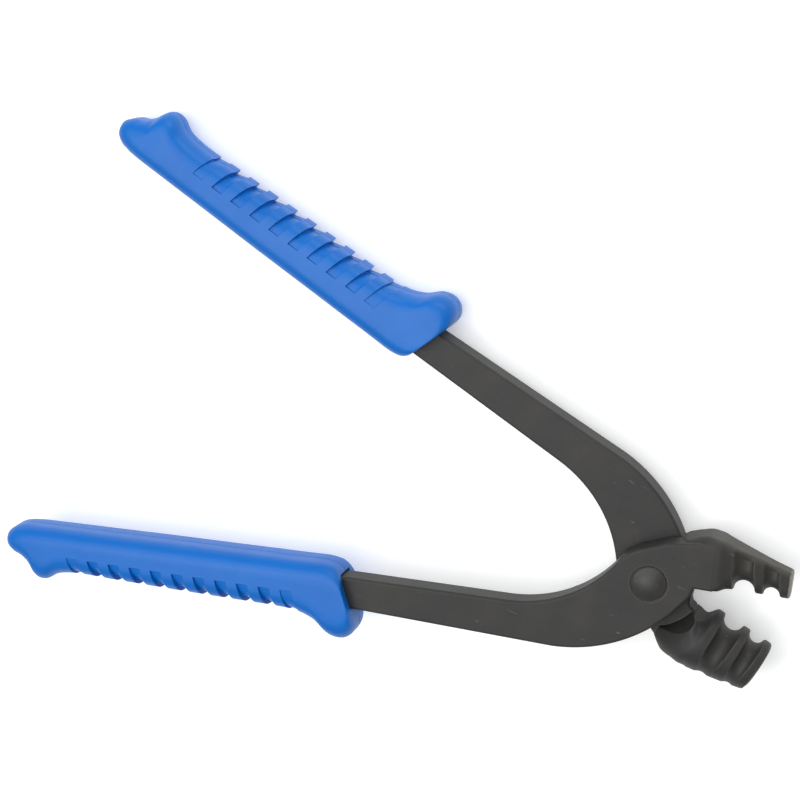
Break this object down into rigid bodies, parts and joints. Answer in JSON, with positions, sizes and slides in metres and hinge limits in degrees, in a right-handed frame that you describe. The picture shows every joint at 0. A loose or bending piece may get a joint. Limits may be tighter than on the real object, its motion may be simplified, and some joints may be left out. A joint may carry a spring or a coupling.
{
  "type": "tube bending pliers",
  "caption": "Hand pliers with ring-grooved jaws for bending and forming thin metal tube, a riveted pivot and long handles in slip-on plastic grips.",
  "frame": {"origin": "middle of the tool's footprint as it lies flat with the jaws open, at the height of its lowest face", "axes": "+X from the handles towards the jaw tips along the line that halves the jaw opening, +Z along the pivot from the rear arm to the front arm"},
  "size_m": [0.2467, 0.16, 0.0253],
  "materials": {
    "arm_steel": "black oxide over forged steel, satin, worn brighter along the edges",
    "rivet_steel": "black oxide, satin, peened dome",
    "grip_plastic": "satin mid blue moulded plastic"
  },
  "bodies": {
    "rear_half": {"rear_arm": "arm_steel", "rear_grip": "grip_plastic"},
    "front_half": {"front_arm": "arm_steel", "front_grip": "grip_plastic", "pivot_rivet": "rivet_steel"}
  },
  "joints": [
    {"name": "pivot", "type": "hinge", "parent": "rear_half", "child": "front_half", "pos_m": [0.08242, -0.00175, 0.01265], "axis": [0, 0, 1], "range_deg": [-21, 3]}
  ]
}
